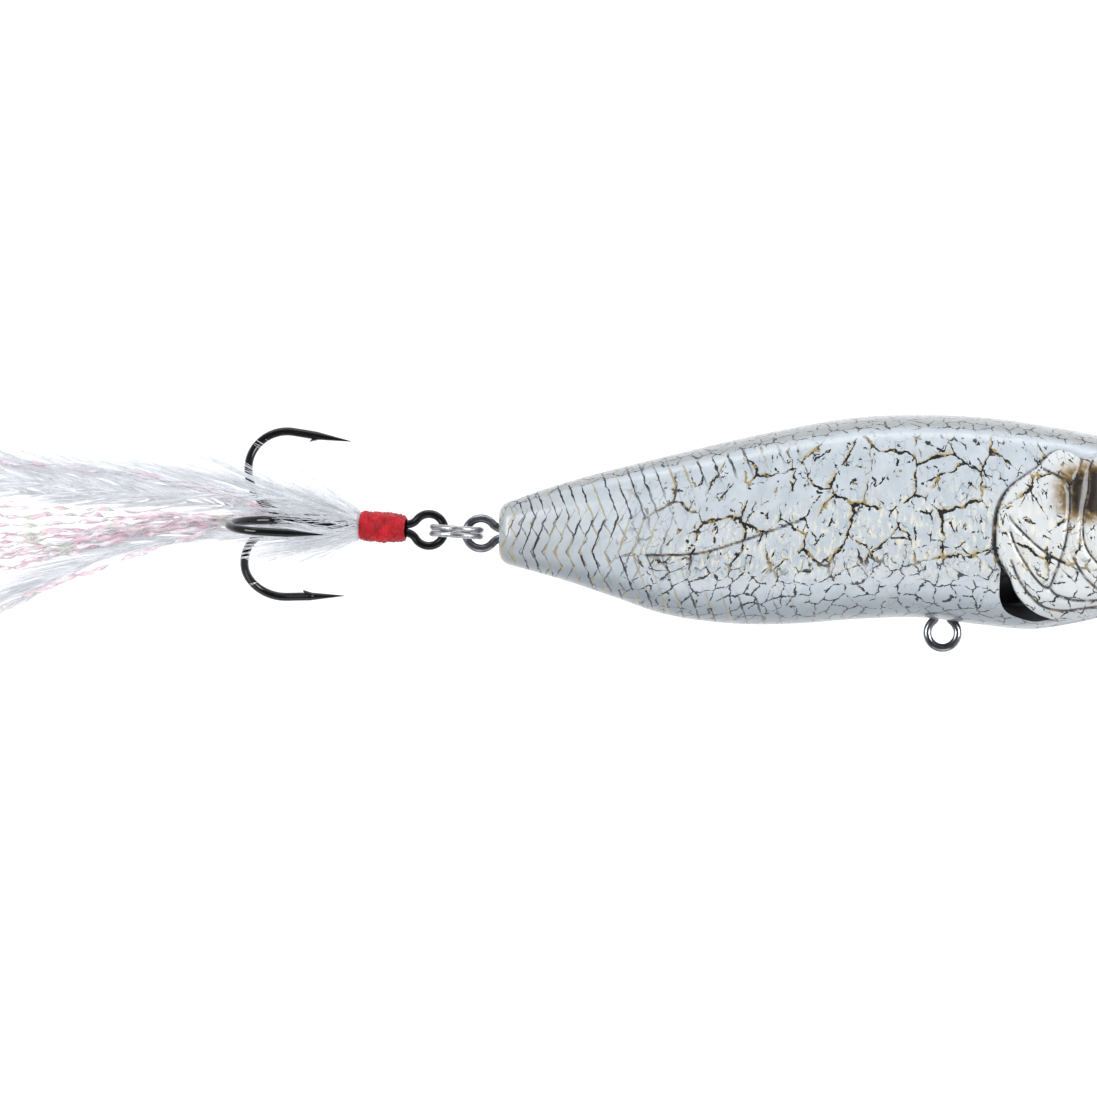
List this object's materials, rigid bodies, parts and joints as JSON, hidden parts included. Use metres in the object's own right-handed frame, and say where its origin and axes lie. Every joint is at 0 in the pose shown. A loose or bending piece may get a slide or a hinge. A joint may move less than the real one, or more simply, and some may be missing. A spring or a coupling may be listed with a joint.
{
  "type": "topwater popper lure",
  "caption": "Hollow cup-faced topwater popper with gill vents, wire hangers, weights, and a feather-dressed treble on a split ring.",
  "frame": {"origin": "centre of the line tie eye at the nose", "axes": "+X out of the nose along the body, +Y to the back, +Z to the right flank, so the lure lies on its left flank"},
  "size_m": [0.1429, 0.0237, 0.0184],
  "materials": {
    "painted_shell": "pale blue-grey with black crackle under clear gloss",
    "black_liner": "satin black",
    "eye_iris": "metallic print",
    "eye_dome": "clear gloss",
    "hanger_wire": "polished stainless, dark reflections",
    "cast_weight": "as cast",
    "steel_ball": "ground",
    "ring_steel": "polished stainless",
    "hook_wire": "black nickel",
    "red_thread": "varnished",
    "white_feather": "soft, slightly translucent",
    "pearl_tinsel": "pearlescent, crinkled"
  },
  "bodies": {
    "lure_body": {"shell_right": "painted_shell", "shell_left": "painted_shell", "gill_duct_right": "black_liner", "gill_duct_left": "black_liner", "eye_iris_right": "eye_iris", "eye_iris_left": "eye_iris", "eye_dome_right": "eye_dome", "eye_dome_left": "eye_dome", "line_tie_wire": "hanger_wire", "belly_hanger_wire": "hanger_wire", "tail_hanger_wire": "hanger_wire", "tail_weight": "cast_weight"},
    "rattle": {"rattle_ball": "steel_ball"},
    "ring": {"split_ring": "ring_steel"},
    "treble": {"hook_double": "hook_wire", "hook_single": "hook_wire", "thread_wrap": "red_thread", "feather_upper": "white_feather", "feather_lower": "white_feather", "feather_behind": "white_feather", "tinsel_bundle": "pearl_tinsel"}
  },
  "joints": [
    {"name": "ring_swing", "type": "hinge", "parent": "lure_body", "child": "ring", "pos_m": [-0.0809, -0.00134, 0], "axis": [0, 0, 1], "range_deg": [-87, 95]},
    {"name": "treble_swing", "type": "hinge", "parent": "ring", "child": "treble", "pos_m": [-0.08334, -0.00118, 0], "axis": [0.0663, 0.9978, 0], "range_deg": [-81, 99]},
    {"name": "rattle_roll", "type": "slide", "parent": "lure_body", "child": "rattle", "axis": [1, 0, 0], "range_m": [0, 0.0163]}
  ]
}
